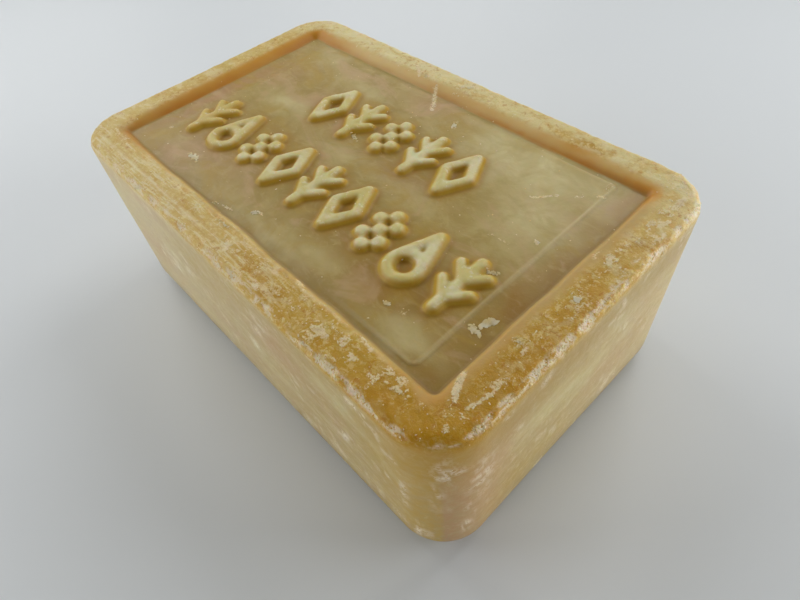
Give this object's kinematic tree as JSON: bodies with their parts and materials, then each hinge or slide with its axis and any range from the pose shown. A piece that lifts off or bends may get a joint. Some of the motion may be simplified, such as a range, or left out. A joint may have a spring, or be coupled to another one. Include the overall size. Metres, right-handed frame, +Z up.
{
  "type": "soap block",
  "caption": "Rectangular pressed soap block with round upright corners, a raised rim around a shallow recess, and two rows of raised ornaments on the recessed panel.",
  "frame": {"origin": "centre of the flat base, on the surface that the block stands on", "axes": "+X along the length, +Y across the width towards the shorter ornament row, +Z up out of the recessed face"},
  "size_m": [0.0944, 0.06, 0.0364],
  "materials": {
    "soap": "waxy, cloudy amber to beige, with a scuffed rim and pale bloom",
    "soap_relief": "waxy, pale ivory yellow, polished backs"
  },
  "bodies": {
    "root": {"soap_block": "soap", "relief_upper_1_lozenge": "soap_relief", "relief_upper_2_sprig": "soap_relief", "relief_upper_3_rosette": "soap_relief", "relief_upper_4_sprig": "soap_relief", "relief_upper_5_lozenge": "soap_relief", "relief_lower_1_sprig": "soap_relief", "relief_lower_2_drop": "soap_relief", "relief_lower_3_rosette": "soap_relief", "relief_lower_4_lozenge": "soap_relief", "relief_lower_5_sprig": "soap_relief", "relief_lower_6_lozenge": "soap_relief", "relief_lower_7_rosette": "soap_relief", "relief_lower_8_drop": "soap_relief", "relief_lower_9_sprig": "soap_relief"}
  },
  "joints": []
}
